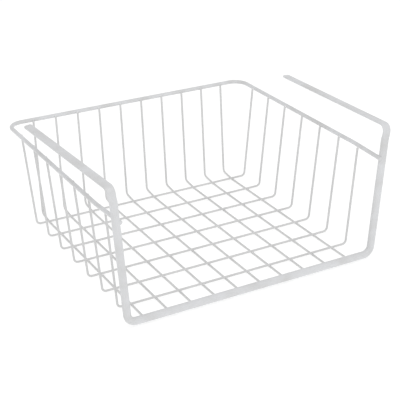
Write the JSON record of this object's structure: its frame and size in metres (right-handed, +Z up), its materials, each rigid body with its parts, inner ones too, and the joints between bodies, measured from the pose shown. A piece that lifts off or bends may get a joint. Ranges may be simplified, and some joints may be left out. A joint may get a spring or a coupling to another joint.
{
  "type": "under shelf basket",
  "caption": "Open-front wire basket that hangs below a shelf board from two flat arms that slide over the board's top.",
  "frame": {"origin": "middle of the outline in plan, on the surface that the floor wires stand on", "axes": "+Z up towards the arms, +X to the right across the open front, +Y from the open front to the back wall"},
  "size_m": [0.3028, 0.2664, 0.1398],
  "materials": {
    "thick_wire_coating": "semi-gloss white dip or powder coating over steel wire",
    "grid_wire_coating": "semi-gloss white dip or powder coating over thin steel wire"
  },
  "bodies": {
    "root": {"hanger_frame": "thick_wire_coating", "rim_wire": "thick_wire_coating", "floor_wire_01": "grid_wire_coating", "floor_wire_02": "grid_wire_coating", "floor_wire_03": "grid_wire_coating", "floor_wire_04": "grid_wire_coating", "floor_wire_05": "grid_wire_coating", "floor_wire_06": "grid_wire_coating", "floor_wire_07": "grid_wire_coating", "floor_wire_08": "grid_wire_coating", "floor_wire_09": "grid_wire_coating", "floor_wire_10": "grid_wire_coating", "cross_wire_1": "grid_wire_coating", "cross_wire_2": "grid_wire_coating", "cross_wire_3": "grid_wire_coating", "cross_wire_4": "grid_wire_coating", "cross_wire_5": "grid_wire_coating", "cross_wire_6": "grid_wire_coating", "cross_wire_7": "grid_wire_coating"}
  },
  "joints": []
}
